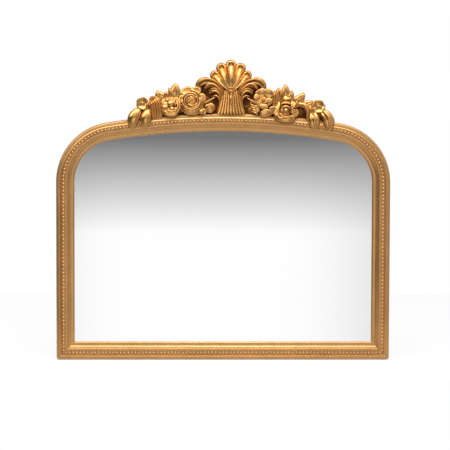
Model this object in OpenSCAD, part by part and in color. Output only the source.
// Overmantel mirror: an arched gilded frame with pearl beading, a mirror plate
// and a carved crest of a shell between two sprays of flowers.
// Millimetres. +Z is up, +X is to the right as seen from the front, +Y is to the wall.
// The origin is the middle of the flat foot that stands on the mantel shelf.

/* [Frame outline] */
// Width of the frame over the stiles
frame_w = 1200; // [1120:10:1400]
// Height of the straight stiles, up to where the shoulders start to curve
stile_h = 638; // [560:2:720]
// Rise of the arch from the top of the stiles to its crown
arch_rise = 247; // [235:1:300]
// Outer radius of the shoulders
shoulder_r = 215; // [170:1:222]
// Rounding of the two lower outer corners
foot_corner_r = 6; // [2:1:12]

/* [Moulding] */
// Height of the flat outer side of the moulding above its back
side_h = 14; // [12:1:18]
// Radius of the quarter round on the outer edge
outer_round_r = 14; // [12:1:16]
// Radius of the small torus beside the bead channel
fillet_r = 3; // [2:0.5:3.5]
// Width of the bead channel
channel_w = 14; // [12:0.5:16]
// Width of the sloping band inside the bead channel
band_w = 6; // [4:1:8]
// Fall of the sloping band towards the glass
band_fall = 1; // [0.5:0.5:2]
// Width of the quirk cut beside the sloping band
quirk_w = 2; // [1:0.5:3]
// Depth of the quirk
quirk_depth = 3; // [2:0.5:4]
// Radius of the hollow cove
cove_r = 11; // [9:0.5:12]
// Radius of the torus beside the glass
sight_torus_r = 3.5; // [2.5:0.5:4]
// Width of the flat lip at the glass
lip_w = 3.5; // [2:0.5:5]
// Thickness of the lip in front of the glass
lip_t = 3; // [2:0.5:4]
// How far the rebate is cut in behind the lip and torus
rebate_w = 10; // [8:0.5:12]

/* [Beads] */
// Radius of one pearl bead
bead_r = 5; // [4:0.1:5.4]
// Spacing aimed at from bead to bead
bead_pitch = 13.1; // [12.8:0.1:18]
// Thickness of the strip that carries the beads
strip_t = 6; // [5.6:0.1:7]
// Clearance between the strip and each wall of its channel
strip_gap = 0.3; // [0.2:0.05:0.5]

/* [Glass and backing] */
// Thickness of the mirror plate
glass_t = 4; // [3:1:6]
// Thickness of the backing board
board_t = 4; // [3:1:6]
// Gap between the glass edge and the rebate wall
glass_gap = 2; // [1.5:0.5:3]
// Gap between the board edge and the rebate wall
board_gap = 1; // [0.5:0.5:2]
// Length of one setting block
block_l = 40; // [20:5:60]

/* [Back hardware] */
// Radius of the dowels
dowel_r = 4; // [3:0.5:4.5]
// Length of the dowels
dowel_l = 40; // [24:2:60]
// Clearance round a dowel or screw in its hole
hole_gap = 0.15; // [0.1:0.05:0.3]
// Thickness of the steel plates, straps and clips
plate_t = 1.6; // [1:0.2:2.4]
// Leg length of the corner plates
corner_plate_l = 46; // [40:2:50]
// Width of the corner plates
corner_plate_w = 14; // [12:1:18]
// Length of the board clips
clip_l = 30; // [26:1:34]
// Width of the board clips
clip_w = 12; // [10:1:16]
// Length of the crest straps
strap_l = 72; // [66:2:84]
// Width of the crest straps
strap_w = 14; // [12:1:18]
// Radius of the screw shanks
screw_r = 1.75; // [1.25:0.25:2.25]
// Radius of the screw heads
screw_head_r = 3.5; // [3:0.5:4.5]
// Height of the screw heads
screw_head_h = 1.8; // [1.2:0.2:2.4]
// Length of the screws under the head
screw_l = 12; // [8:1:14]
// Radius of the wall bumpers
bumper_r = 9; // [6:1:12]
// Thickness of the wall bumpers
bumper_t = 8; // [7.5:0.5:10]

/* [Hangers] */
// How far the ring pins lie below the top of the stiles
hanger_drop = 78; // [60:1:140]
// Width of the hanger straps
hanger_w = 12; // [10:1:14]
// Length of the hanger straps below the pin
hanger_l = 44; // [40:1:60]
// Radius of the ring wire
ring_wire_r = 1.75; // [1.5:0.05:2]
// Radius of the ring at the middle of its wire
ring_r = 14; // [13:0.5:16]
// Clearance of the ring's bar in the rolled eye
ring_gap = 0.08; // [0.03:0.01:0.1]
// Wall of the rolled eye
eye_wall = 1.4; // [1.2:0.1:1.8]

/* [Crest] */
// Sideways offset of the crest from the middle of the frame
crest_x = 25; // [-40:1:40]
// Clearance between the castings and the frame
crest_gap = 0.3; // [0.3:0.05:0.6]
// Reach of each spray from the middle of the crest
spray_reach = 346; // [300:2:360]
// Thickness of the castings at their rims
casting_t = 20; // [16:1:26]
// Width of the shell's stem at its foot
stem_foot_w = 96; // [80:1:110]
// Width of the shell's stem at its waist
stem_waist_w = 74; // [60:1:80]
// Height of the shell's stem
stem_h = 56; // [44:1:62]
// Height of the point that the lobes spread from
fan_h = 72; // [64:1:80]
// Length of the middle lobe from that point to the middle of its round tip
lobe_l = 99; // [84:1:110]
// Radius of the middle lobe's tip
lobe_r = 21; // [18:1:24]
// Angle from one lobe to the next
lobe_angle = 22; // [19:1:24]
// How far the large side scrolls reach out
scroll_reach = 78; // [66:1:84]
// Radius of the large roses
rose_r = 45; // [38:1:48]
// Radius of the cupped flowers
cup_r = 36; // [30:1:38]
// Radius of the small open flowers
small_r = 21; // [17:1:23]
// Radius of the buds beside the stem
bud_r = 17; // [14:1:19]
// How far the roses stand forward of the frame's back
rose_h = 52; // [46:1:60]
// Radius of the drooping leaves at the ends of the sprays
droop_r = 18; // [14:1:20]

/* [Hidden] */
// Places across the moulding, each measured in from the outer edge
fillet_u = outer_round_r + fillet_r;
channel_u = outer_round_r + 2 * fillet_r;
band_u = channel_u + channel_w;
quirk_u = band_u + band_w;
cove_u = quirk_u + quirk_w;
sight_step = 0.8;
sight_u = cove_u + cove_r + sight_step;
lip_u = sight_u + 2 * sight_torus_r;
moulding_w = lip_u + lip_w;
rebate_u = moulding_w - rebate_w;
bead_u = channel_u + channel_w / 2;

// Heights of the moulding, each above its back
rebate_h = glass_t + board_t;
lip_h = rebate_h + lip_t;
sight_torus_h = lip_h + 2;
round_top_h = side_h + outer_round_r;
fillet_h = round_top_h - 1;
strip_top_h = round_top_h - 2;
channel_h = strip_top_h - strip_t;
band_h = round_top_h;
cove_bottom_h = sight_torus_h + 2.5;
bead_top_h = strip_top_h + bead_r;

// The foot's middle is the origin, so the back lies half of the flat side behind it
back_y = side_h / 2;

// The arch has three centres: one for each shoulder and one for the head
half_w = frame_w / 2;
shoulder_x = half_w - shoulder_r;
head_r = (shoulder_x * shoulder_x + arch_rise * arch_rise - shoulder_r * shoulder_r)
    / (2 * (arch_rise - shoulder_r));
frame_h = stile_h + arch_rise;
head_z = frame_h - head_r;
head_angle = atan2(stile_h - head_z, shoulder_x);

// How far cuts run past the faces they open
cut = 1;

// Facets of plain rounds, of screws and of the long arch head
plain_fn = 48;
screw_fn = 24;
wide_fn = 720;

// Screws stand in the back of the frame, loose in the plates they hold
plate_hole_gap = 0.35;
screw_hole_r = screw_r + hole_gap;
plate_hole_r = screw_r + plate_hole_gap;
screw_hole_l = screw_l - plate_t + 1;

// Hangers
bar_y = 2 * plate_t + ring_wire_r - 1;
eye_bore_r = ring_wire_r + ring_gap;
eye_r = eye_bore_r + eye_wall;
hanger_u = 30;
hanger_z = stile_h - hanger_drop;
hanger_screws_z = [-ring_r - 10, 7 - hanger_l];

// ---------------------------------------------------------------- helpers

// Points of an arc in a flat drawing, from one angle to another
function arc(cx, cy, r, from, to, steps) =
    [for (i = [0:steps]) let (a = from + (to - from) * i / steps) [cx + r * cos(a), cy + r * sin(a)]];

// Height of the frame's outer edge on the arch head, at a place across the frame
function edge_z(x) = head_z + sqrt(head_r * head_r - x * x);

// Outline of the whole frame, moved in from the outer edge
function arch_outline(inset) = concat(
    [[-half_w + inset, inset], [half_w - inset, inset]],
    arc(shoulder_x, stile_h, shoulder_r - inset, 0, head_angle, 24),
    arc(0, head_z, head_r - inset, head_angle, 180 - head_angle, 48),
    arc(-shoulder_x, stile_h, shoulder_r - inset, 180 - head_angle, 180, 24)
);

// A straight bar with round ends, lying along Y from its own origin
function bar_outline(l, w) = concat(
    arc(0, l - w / 2, w / 2, 0, 180, 12),
    arc(0, w / 2, w / 2, 180, 360, 12)
);

// Shapes are drawn as seen from the front, with their height above the frame's back
// along Z, and then stood up
module stand_up() {
    translate([0, back_y, 0]) rotate([90, 0, 0]) children();
}

// The same for what lies behind the frame's back: its Z then points to the wall
module stand_behind() {
    translate([0, back_y, 0]) rotate([90, 0, 0]) mirror([0, 0, 1]) children();
}

// ---------------------------------------------------------------- moulding

// Section of the moulding: across it from the outer edge, and up from its back
function moulding_points() = concat(
    [[0, 0]],
    arc(outer_round_r, side_h, outer_round_r, 180, 90, 8),
    arc(fillet_u, fillet_h, fillet_r, 180, 0, 6),
    [
        [channel_u, channel_h], [band_u, channel_h], [band_u, band_h],
        [quirk_u, band_h - band_fall], [quirk_u, band_h - band_fall - quirk_depth]
    ],
    arc(cove_u + cove_r, cove_bottom_h + cove_r, cove_r, 188, 270, 7),
    [[sight_u, cove_bottom_h], [sight_u, sight_torus_h]],
    arc(sight_u + sight_torus_r, sight_torus_h, sight_torus_r, 180, 0, 7),
    [[lip_u, lip_h], [moulding_w, lip_h], [moulding_w, rebate_h], [rebate_u, rebate_h], [rebate_u, 0]]
);

// Section of the strip that carries the beads
function strip_points() = [
    [channel_u + strip_gap, channel_h], [band_u - strip_gap, channel_h],
    [band_u - strip_gap, strip_top_h], [channel_u + strip_gap, strip_top_h]
];

// A section swept along the foot of the frame, between its two mitres
module along_bottom(points) {
    inner_x = half_w - moulding_w;
    intersection() {
        translate([-half_w, 0, 0]) rotate([90, 0, 90]) linear_extrude(frame_w) polygon(points);
        linear_extrude(bead_top_h + cut)
            polygon([[-half_w, 0], [half_w, 0], [inner_x, moulding_w], [-inner_x, moulding_w]]);
    }
}

// A section swept up the left side of the frame, from its mitre to the shoulder
module along_left(points) {
    inner_x = moulding_w - half_w;
    intersection() {
        translate([-half_w, stile_h, 0]) rotate([90, 0, 0]) linear_extrude(stile_h) polygon(points);
        linear_extrude(bead_top_h + cut)
            polygon([[-half_w, 0], [inner_x, moulding_w], [inner_x, stile_h], [-half_w, stile_h]]);
    }
}

// A section swept round the right shoulder
module along_right_shoulder(points) {
    translate([shoulder_x, stile_h, 0])
        rotate_extrude(angle = head_angle, $fn = plain_fn)
            polygon([for (p = points) [shoulder_r - p[0], p[1]]]);
}

// A section swept along the arch head
module along_head(points) {
    translate([0, head_z, 0]) rotate([0, 0, head_angle])
        rotate_extrude(angle = 180 - 2 * head_angle, $fn = wide_fn)
            polygon([for (p = points) [head_r - p[0], p[1]]]);
}

// What rounds off the lower right corner of the frame
module foot_corner_cut() {
    translate([half_w - foot_corner_r, foot_corner_r, -cut]) difference() {
        translate([0, -2 * foot_corner_r, 0]) cube([2 * foot_corner_r, 2 * foot_corner_r, band_h + 4 * cut]);
        translate([0, 0, -cut]) cylinder(r = foot_corner_r, h = band_h + 6 * cut, $fn = plain_fn);
    }
}

// ---------------------------------------------------------------- joints

// Two dowels stand side by side in each joint, in bores a little longer than they are
dowel_us = [outer_round_r + 2, quirk_u];
dowel_h = side_h / 2 + 3;
dowel_bore_l = dowel_l + 2;

// Dowels or their bores across the joint between right stile and right shoulder,
// and across the one between right shoulder and head
module right_dowels(r, l) {
    for (u = dowel_us) {
        translate([half_w - u, stile_h + l / 2, dowel_h]) rotate([90, 0, 0])
            cylinder(r = r, h = l, $fn = plain_fn);
        translate([shoulder_x, stile_h, 0]) rotate([0, 0, head_angle])
            translate([shoulder_r - u, l / 2, dowel_h]) rotate([90, 0, 0])
                cylinder(r = r, h = l, $fn = plain_fn);
    }
}

module left_dowels(r, l) {
    mirror([1, 0, 0]) right_dowels(r, l);
}

module joint_dowels() color("burlywood") stand_up() {
    right_dowels(dowel_r, dowel_l);
    left_dowels(dowel_r, dowel_l);
}

// ---------------------------------------------------------------- back hardware places

corner_screws = [corner_plate_l * 0.42, corner_plate_l * 0.84];
corner_u = 6;

// Screw places on the right corner plate, as seen from the front
corner_places = [
    for (s = corner_screws) [half_w - corner_u - s, corner_u + corner_plate_w / 2],
    for (s = corner_screws) [half_w - corner_u - corner_plate_w / 2, corner_u + s]
];

// The bumpers stand further in than the screws of the clips
bumper_in = 8;

// Clips stand on the frame's back and reach over the board: place, and the way they point
clip_root_u = rebate_u - clip_l * 0.66;
clip_screw_u = clip_root_u + clip_w / 2;
clip_spans_x = [-0.62, 0, 0.62];
clip_zs = [stile_h * 0.3, hanger_z - hanger_l - 20];
clip_head_angles = [for (k = [-0.79, 0, 0.79]) k * (90 - head_angle)];

// Straps cross the outer edge of the arch behind the castings
strap_xs = [for (k = [-0.613, -0.347, 0, 0.347, 0.566]) crest_x + k * spray_reach];
strap_below = strap_l * 0.46;
strap_screws = [strap_l * 0.12, strap_l * 0.32, strap_l * 0.62, strap_l * 0.84];

hanger_x = half_w - hanger_u;

// A hole for a screw, down from the frame's back
module screw_hole(p) {
    translate([p[0], p[1], -cut]) cylinder(r = screw_hole_r, h = screw_hole_l + cut, $fn = screw_fn);
}

// A pan-head screw through a plate on the frame's back, with Z towards the wall
module screw(p) {
    translate([p[0], p[1], 0]) rotate_extrude($fn = screw_fn) polygon(concat(
        [[0, plate_t - screw_l], [screw_r, plate_t + 1 - screw_l], [screw_r, plate_t]],
        [[screw_head_r, plate_t], [screw_head_r, plate_t + screw_head_h * 0.5]],
        [[screw_head_r * 0.7, plate_t + screw_head_h], [0, plate_t + screw_head_h]]
    ));
}

// ---------------------------------------------------------------- frame

module bottom_rail() color("goldenrod") stand_up() difference() {
    along_bottom(moulding_points());
    foot_corner_cut();
    mirror([1, 0, 0]) foot_corner_cut();
    for (s = [-1, 1], p = [corner_places[0], corner_places[1]]) screw_hole([s * p[0], p[1]]);
    for (k = clip_spans_x) screw_hole([k * (half_w - moulding_w), clip_screw_u]);
}

// The right stile in its drawing position
module stile_body() {
    difference() {
        mirror([1, 0, 0]) along_left(moulding_points());
        foot_corner_cut();
        right_dowels(dowel_r + hole_gap, dowel_bore_l);
        for (p = [corner_places[2], corner_places[3]]) screw_hole(p);
        for (z = clip_zs) screw_hole([half_w - clip_screw_u, z]);
        for (z = hanger_screws_z) screw_hole([hanger_x, hanger_z + z]);
    }
}

module right_stile() color("goldenrod") stand_up() stile_body();

module left_stile() color("goldenrod") stand_up() mirror([1, 0, 0]) stile_body();

module shoulder_body() {
    difference() {
        along_right_shoulder(moulding_points());
        right_dowels(dowel_r + hole_gap, dowel_bore_l);
    }
}

module right_shoulder() color("goldenrod") stand_up() shoulder_body();

module left_shoulder() color("goldenrod") stand_up() mirror([1, 0, 0]) shoulder_body();

module arch_head() color("goldenrod") stand_up() difference() {
    along_head(moulding_points());
    right_dowels(dowel_r + hole_gap, dowel_bore_l);
    left_dowels(dowel_r + hole_gap, dowel_bore_l);
    for (x = strap_xs, s = [0, 1])
        screw_hole([x, edge_z(x) - strap_below + strap_screws[s]]);
    for (a = clip_head_angles)
        translate([0, head_z, 0]) rotate([0, 0, a]) screw_hole([0, head_r - clip_screw_u]);
}

// ---------------------------------------------------------------- bead strips

// Number of spaces between beads on a run of a given length
function bead_spaces(l) = floor(l / bead_pitch);

// How far the beads stay from the crossing of their lines at a mitre
bead_mitre_gap = 1.5 * bead_r;

module bead() sphere(r = bead_r, $fn = 24);

module bottom_bead_strip() color("gold") stand_up() {
    l = frame_w - 2 * (bead_u + bead_mitre_gap);
    n = bead_spaces(l);
    along_bottom(strip_points());
    for (i = [0:n]) translate([i * l / n - l / 2, bead_u, strip_top_h]) bead();
}

module side_strip() {
    foot = bead_u + bead_mitre_gap;
    l = stile_h - bead_pitch / 2 - foot;
    n = bead_spaces(l);
    along_left(strip_points());
    for (i = [0:n]) translate([bead_u - half_w, foot + i * l / n, strip_top_h]) bead();
}

module left_bead_strip() color("gold") stand_up() side_strip();

module right_bead_strip() color("gold") stand_up() mirror([1, 0, 0]) side_strip();

module shoulder_strip() {
    r = shoulder_r - bead_u;
    n = bead_spaces(r * head_angle * PI / 180);
    along_right_shoulder(strip_points());
    translate([shoulder_x, stile_h, strip_top_h])
        for (i = [0:n - 1]) rotate([0, 0, (i + 0.5) * head_angle / n]) translate([r, 0, 0]) bead();
}

module right_shoulder_bead_strip() color("gold") stand_up() shoulder_strip();

module left_shoulder_bead_strip() color("gold") stand_up() mirror([1, 0, 0]) shoulder_strip();

module head_bead_strip() color("gold") stand_up() {
    r = head_r - bead_u;
    span = 180 - 2 * head_angle;
    n = bead_spaces(r * span * PI / 180);
    along_head(strip_points());
    translate([0, head_z, strip_top_h])
        for (i = [0:n - 1]) rotate([0, 0, head_angle + (i + 0.5) * span / n]) translate([r, 0, 0]) bead();
}

// ---------------------------------------------------------------- glass and backing

module mirror_plate() color("lightsteelblue") stand_up()
    translate([0, 0, board_t]) linear_extrude(glass_t) polygon(arch_outline(rebate_u + glass_gap));

module backing_board() color("peru") stand_up()
    linear_extrude(board_t) polygon(arch_outline(rebate_u + board_gap));

// Two blocks under the glass and two at each side of it
module setting_blocks() color("dimgray") stand_up() {
    inner_x = half_w - rebate_u - glass_gap;
    for (s = [-1, 1]) {
        translate([s * inner_x * 0.55 - block_l / 2, rebate_u, board_t])
            cube([block_l, glass_gap, glass_t]);
        for (k = [0.2, 0.8])
            translate([s * (inner_x + glass_gap / 2) - glass_gap / 2, k * stile_h, board_t])
                cube([glass_gap, block_l, glass_t]);
    }
}

// ---------------------------------------------------------------- plates, clips and screws

// An L of flat steel behind one mitre, with the corner of the frame at the lower right
module corner_plate_body() {
    x = half_w - corner_u;
    difference() {
        linear_extrude(plate_t) polygon([
            [x, corner_u], [x, corner_u + corner_plate_l], [x - corner_plate_w, corner_u + corner_plate_l],
            [x - corner_plate_w, corner_u + corner_plate_w], [x - corner_plate_l, corner_u + corner_plate_w],
            [x - corner_plate_l, corner_u]
        ]);
        for (p = corner_places) translate([p[0], p[1], -cut])
            cylinder(r = plate_hole_r, h = plate_t + 2 * cut, $fn = screw_fn);
    }
}

module right_corner_plate() color("silver") stand_behind() corner_plate_body();

module left_corner_plate() color("silver") stand_behind() mirror([1, 0, 0]) corner_plate_body();

module corner_plate_screws() color("lightgray") stand_behind()
    for (s = [-1, 1], p = corner_places) screw([s * p[0], p[1]]);

// A flat bar of steel with holes, lying along Y
module flat_bar(l, w, holes) {
    difference() {
        linear_extrude(plate_t) polygon(bar_outline(l, w));
        for (y = holes) translate([0, y, -cut])
            cylinder(r = plate_hole_r, h = plate_t + 2 * cut, $fn = screw_fn);
    }
}

// Puts a clip or its screw at every clip's place, with Y pointing in over the board
module at_clips() {
    for (k = clip_spans_x) translate([k * (half_w - moulding_w), clip_root_u, 0]) children();
    for (s = [-1, 1], z = clip_zs)
        translate([s * (half_w - clip_root_u), z, 0]) rotate([0, 0, s * 90]) children();
    for (a = clip_head_angles)
        translate([0, head_z, 0]) rotate([0, 0, a]) translate([0, head_r - clip_root_u, 0])
            rotate([0, 0, 180]) children();
}

module board_clips() color("silver") stand_behind()
    at_clips() flat_bar(clip_l, clip_w, [clip_w / 2]);

module board_clip_screws() color("lightgray") stand_behind()
    at_clips() screw([0, clip_w / 2]);

module crest_straps() color("silver") stand_behind()
    for (x = strap_xs) translate([x, edge_z(x) - strap_below, 0]) flat_bar(strap_l, strap_w, strap_screws);

module crest_strap_screws() color("lightgray") stand_behind()
    for (x = strap_xs, s = strap_screws) screw([x, edge_z(x) - strap_below + s]);

module wall_bumpers() color("dimgray") stand_behind()
    for (s = [-1, 1], y = [stile_h * 0.16, stile_h - 2 * bumper_r])
        translate([s * (half_w - clip_screw_u + bumper_in), y, 0])
            rotate_extrude($fn = plain_fn) polygon([
                [0, 0], [bumper_r, 0], [bumper_r, bumper_t - 2], [bumper_r - 2, bumper_t], [0, bumper_t]
            ]);

// ---------------------------------------------------------------- hangers

// A strap with a rolled eye at its top, for the right stile
module hanger_strap() {
    difference() {
        union() {
            translate([-hanger_w / 2, -hanger_l, 0]) cube([hanger_w, hanger_l, plate_t]);
            translate([-hanger_w / 2, 0, bar_y]) rotate([0, 90, 0])
                cylinder(r = eye_r, h = hanger_w, $fn = plain_fn);
            translate([-hanger_w / 2, -eye_r, 0]) cube([hanger_w, eye_r, bar_y]);
        }
        translate([-hanger_w / 2 - cut, 0, bar_y]) rotate([0, 90, 0])
            cylinder(r = eye_bore_r, h = hanger_w + 2 * cut, $fn = plain_fn);
        for (z = hanger_screws_z) translate([0, z, -cut])
            cylinder(r = plate_hole_r, h = plate_t + 2 * cut, $fn = screw_fn);
    }
}

// A D of wire that hangs from its straight bar
module hanger_ring() {
    translate([0, 0, bar_y]) {
        translate([-ring_r, 0, 0]) rotate([0, 90, 0])
            cylinder(r = ring_wire_r, h = 2 * ring_r, $fn = plain_fn);
        for (s = [-1, 1]) translate([s * ring_r, 0, 0]) sphere(r = ring_wire_r * 1.12, $fn = plain_fn);
        rotate([0, 0, 180]) rotate_extrude(angle = 180, $fn = plain_fn)
            translate([ring_r, 0]) circle(r = ring_wire_r, $fn = 24);
    }
}

module at_hanger(side) {
    stand_behind() translate([side * hanger_x, hanger_z, 0]) children();
}

module left_hanger_strap() color("silver") at_hanger(-1) hanger_strap();

module right_hanger_strap() color("silver") at_hanger(1) hanger_strap();

module left_hanger_ring() color("silver") at_hanger(-1) hanger_ring();

module right_hanger_ring() color("silver") at_hanger(1) hanger_ring();

module hanger_screws() color("lightgray") stand_behind()
    for (s = [-1, 1], z = hanger_screws_z) screw([s * hanger_x, hanger_z + z]);

// ---------------------------------------------------------------- crest

// What the castings leave free of the frame: its section with a clearance, over the beads.
// The outer round is followed by chords that stay outside it.
module frame_envelope() {
    steps = 6;
    top = bead_top_h + crest_gap;
    inner_u = moulding_w + 30;
    points = concat(
        [[-crest_gap, -cut]],
        arc(outer_round_r, side_h, (outer_round_r + crest_gap) / cos(45 / steps), 180, 90, steps),
        [[fillet_u - 1, top], [inner_u, top], [inner_u, -cut]]
    );
    along_head(points);
    along_right_shoulder(points);
    mirror([1, 0, 0]) along_right_shoulder(points);
}

// Holes up into a casting for the screws of one strap
module strap_holes(x) {
    for (s = [2, 3]) translate([x, edge_z(x) - strap_below + strap_screws[s], -cut])
        cylinder(r = plate_hole_r, h = screw_hole_l + cut, $fn = 12);
}

// A solid button up to a rounded top: place, radius and height
module button(x, y, r, h) {
    dome = min(r * 0.7, h * 0.8);
    translate([x, y, 0]) {
        cylinder(r = r, h = h - dome, $fn = 12);
        translate([0, 0, h - dome]) scale([1, 1, dome / r]) sphere(r = r, $fn = 12);
    }
}

// A rounded ridge through a list of buttons, each [x, y, r, h]
module ridge(p) {
    for (i = [0:len(p) - 2]) hull() {
        button(p[i][0], p[i][1], p[i][2], p[i][3]);
        button(p[i + 1][0], p[i + 1][1], p[i + 1][2], p[i + 1][3]);
    }
}

// Trims a casting: flat behind, free of the frame, and drilled for its straps' screws
module casting(straps) {
    difference() {
        children();
        frame_envelope();
        translate([-half_w, 0, -frame_h]) cube([frame_w, 2 * frame_h, frame_h]);
        for (i = straps) strap_holes(strap_xs[i]);
    }
}

// What a spray leaves free for the shell beside it: the shell's side with a clearance
module shell_envelope() {
    translate([crest_x, edge_z(crest_x), 0]) {
        shell_half(crest_gap);
        mirror([1, 0, 0]) shell_half(crest_gap);
    }
}

// One lobe of the shell: a ridge that widens to a round tip, hollowed along its middle
module lobe(angle, l, r) {
    translate([0, fan_h, 0]) rotate([0, 0, -angle]) difference() {
        hull() {
            button(0, 0, 5, casting_t + 10);
            button(0, l, r, casting_t + 4);
        }
        hull() {
            translate([0, l * 0.2, casting_t + 12]) sphere(r = 4, $fn = 10);
            translate([0, l, casting_t + 6]) sphere(r = r * 0.62, $fn = 12);
        }
    }
}

// One scroll at the side of the shell: it rises out of the stem and arches outwards
module scroll(x, y, reach, rise, r, grow) {
    steps = 4;
    ridge([for (i = [0:steps]) let (t = 112 * i / steps, part = i / steps) [
        x + reach * (1 - cos(t)), y + rise * sin(t),
        r * (0.5 + 0.5 * part) + grow, casting_t + 6 + 3 * part + grow
    ]]);
}

scroll_rise = scroll_reach * 0.78;

// One side of the shell, grown by a clearance where it is cut out of its neighbour
module shell_half(grow) {
    web_h = casting_t * 0.7 + grow;
    root_x = stem_waist_w * 0.175;
    root_z = stem_h - 2;
    scroll(root_x, root_z, scroll_reach, scroll_rise, 12, grow);
    scroll(root_x + 4, root_z - 4, scroll_reach * 0.7, scroll_rise * 0.66, 10, grow);
    scroll(root_x + 8, root_z - 8, scroll_reach * 0.52, scroll_rise * 0.36, 8, grow);
    // The web that closes the hollows under the scrolls
    hull() {
        translate([0, stem_h * 0.6, 0]) cylinder(r = stem_waist_w / 4 + grow, h = web_h, $fn = 12);
        translate([scroll_reach * 0.8, 4, 0]) cylinder(r = 14 + grow, h = web_h, $fn = 12);
        translate([scroll_reach * 1.2, root_z + scroll_rise * 0.8, 0])
            cylinder(r = 18 + grow, h = web_h, $fn = 12);
    }
}

// Ribs of the stem run from its wide foot to its waist
rib_count = 9;

module stem() {
    spread = stem_foot_w / (rib_count + 1);
    narrow = stem_waist_w / stem_foot_w;
    for (i = [-(rib_count - 1) / 2:(rib_count - 1) / 2]) hull() {
        button(i * spread, -6, spread * 0.56, casting_t + 15);
        button(i * spread * narrow, stem_h, spread * 0.5, casting_t + 11);
    }
}

// The three small scallops stacked where the lobes meet the stem
module stem_clasp() {
    for (i = [0:2]) button(0, stem_h + 8 + 9 * i, 13 - 2.5 * i, casting_t + 19 - i);
}

module crest_shell() color("goldenrod") stand_up() casting([2]) {
    translate([crest_x, edge_z(crest_x), 0]) {
        for (i = [-2:2]) lobe(lobe_angle * i, lobe_l - 3 * abs(i), lobe_r - 2.4 * abs(i));
        shell_half(0);
        mirror([1, 0, 0]) shell_half(0);
        stem();
        stem_clasp();
    }
}

// The sprays are laid out at one reach and then scaled to the one asked for
layout_reach = 346;
spray_k = spray_reach / layout_reach;

// A place along the crest: sideways from its middle, and up from the arch's outer edge
function on_arch(s, up) = [crest_x + s * spray_k, edge_z(crest_x + s * spray_k) + up * spray_k];

// A petal that leans out from a flower's middle: a rounded plate from one radius to another
module petal(r1, r2, spread, h1, h2, t) {
    hull() {
        translate([r1, 0, h1]) sphere(r = t, $fn = 8);
        for (a = [-spread, spread]) rotate([0, 0, a]) translate([r2 * 0.9, 0, h2]) sphere(r = t, $fn = 6);
        translate([r2, 0, h2 - t]) sphere(r = t, $fn = 6);
        translate([r1, 0, h1 * 0.3]) sphere(r = t, $fn = 6);
    }
}

// A flower: rings of petals round a bud, which rise to the middle
module flower(s, up, r, h, petals, turn) {
    translate(on_arch(s, up)) rotate([0, 0, turn]) {
        cylinder(r1 = r * 0.8, r2 = r * 0.72, h = h * 0.6, $fn = 14);
        for (i = [0:petals - 1]) rotate([0, 0, 360 * i / petals])
            petal(r * 0.5, r * 0.94, 160 / petals, h * 0.7, h * 0.66, r * 0.1);
        for (i = [0:3]) rotate([0, 0, 90 * i + 20])
            petal(r * 0.24, r * 0.6, 36, h * 0.82, h * 0.86, r * 0.09);
        translate([0, 0, h - r * 0.28]) sphere(r = r * 0.28, $fn = 12);
    }
}

// A pointed leaf from its root to its tip, raised along its rib
module leaf(s1, up1, s2, up2, w, h) {
    root = on_arch(s1, up1);
    run = on_arch(s2, up2) - root;
    l = norm(run);
    half = w * spray_k / 2;
    translate(root) rotate([0, 0, atan2(run[1], run[0])]) hull() {
        cylinder(r = half * 0.6, h = h * 0.6, $fn = 10);
        for (side = [-1, 1]) translate([l * 0.42, side * half * 0.8, 0])
            cylinder(r = half * 0.24, h = h * 0.62, $fn = 8);
        translate([l * 0.4, 0, h - 3]) sphere(r = 3, $fn = 8);
        translate([l - 4, 0, h * 0.4]) sphere(r = 4, $fn = 8);
    }
}

// A plump leaf that droops over the moulding, from its root to its blunt end
module droop(s1, up1, s2, up2, r, h) {
    root = on_arch(s1, up1);
    end = on_arch(s2, up2);
    hull() {
        button(root[0], root[1], r * 0.45, h * 0.85);
        button(end[0], end[1], r, h);
    }
}

// A ribbed leaf: narrow ridges side by side that come over the top and hang down
module ribbed_leaf(s, up, step, count, fall, r, h) {
    for (i = [0:count - 1]) {
        top = on_arch(s + step * i, up - 1.2 * i * i);
        hull() {
            button(top[0], top[1], r, h - 8);
            button(top[0], top[1] - fall * spray_k * 0.4, r, h);
            button(top[0] - step * spray_k * 0.3, top[1] - fall * spray_k, r, h - 6);
        }
    }
}

// The ground of a spray: a low ridge along the arch that ties its pieces together
module ground(from, to, up, r) {
    steps = 4;
    ridge([for (i = [0:steps]) let (p = on_arch(from + (to - from) * i / steps, up))
        [p[0], p[1], r, casting_t]]);
}

module crest_spray_left() color("goldenrod") stand_up() difference() {
    casting([0, 1]) spray_left();
    shell_envelope();
}

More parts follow.
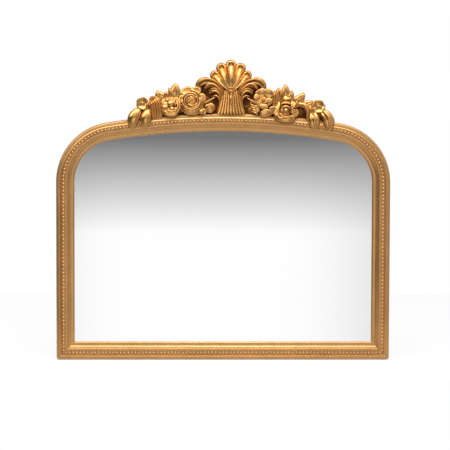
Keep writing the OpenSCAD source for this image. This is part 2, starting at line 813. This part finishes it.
module spray_left() {
    ground(-312, -86, 18, 27);
    droop(-320, 26, -346, -6, droop_r, 46);
    droop(-294, 20, -307, -16, droop_r, 46);
    ribbed_leaf(-284, 54, 13, 4, 52, 8, 42);
    leaf(-206, 44, -198, 111, 46, 38);
    leaf(-232, 50, -260, 90, 34, 36);
    leaf(-176, 40, -164, 92, 34, 30);
    flower(-314, 48, small_r, rose_h - 4, 5, 10);
    flower(-214, 33, cup_r, rose_h, 5, 40);
    flower(-143, 41, rose_r, rose_h, 5, 18);
    flower(-72, 20, bud_r, rose_h - 8, 4, 20);
    leaf(-98, 36, -56, 52, 12, 36);
}

module crest_spray_right() color("goldenrod") stand_up() difference() {
    casting([3, 4]) spray_right();
    shell_envelope();
}

module spray_right() {
    ground(86, 312, 18, 27);
    droop(292, 24, 300, -14, droop_r * 0.85, 46);
    droop(316, 24, 343, -4, droop_r, 46);
    ribbed_leaf(282, 58, -14, 3, 46, 8, 42);
    leaf(196, 60, 194, 113, 50, 38);
    leaf(190, 56, 172, 97, 26, 34);
    leaf(228, 42, 258, 88, 34, 38);
    leaf(150, 40, 154, 92, 22, 34);
    flower(310, 46, small_r, rose_h - 4, 5, 30);
    flower(194, 30, rose_r * 0.94, rose_h, 5, 0);
    flower(114, 44, cup_r, rose_h - 2, 5, 18);
    flower(82, 15, bud_r, rose_h - 8, 4, 0);
    leaf(96, 36, 58, 50, 12, 36);
}

// ---------------------------------------------------------------- drawing

bottom_rail();
left_stile();
right_stile();
left_shoulder();
right_shoulder();
arch_head();
bottom_bead_strip();
left_bead_strip();
right_bead_strip();
left_shoulder_bead_strip();
right_shoulder_bead_strip();
head_bead_strip();
mirror_plate();
backing_board();
setting_blocks();
joint_dowels();
left_corner_plate();
right_corner_plate();
corner_plate_screws();
board_clips();
board_clip_screws();
crest_shell();
crest_spray_left();
crest_spray_right();
crest_straps();
crest_strap_screws();
left_hanger_strap();
right_hanger_strap();
hanger_screws();
left_hanger_ring();
right_hanger_ring();
wall_bumpers();
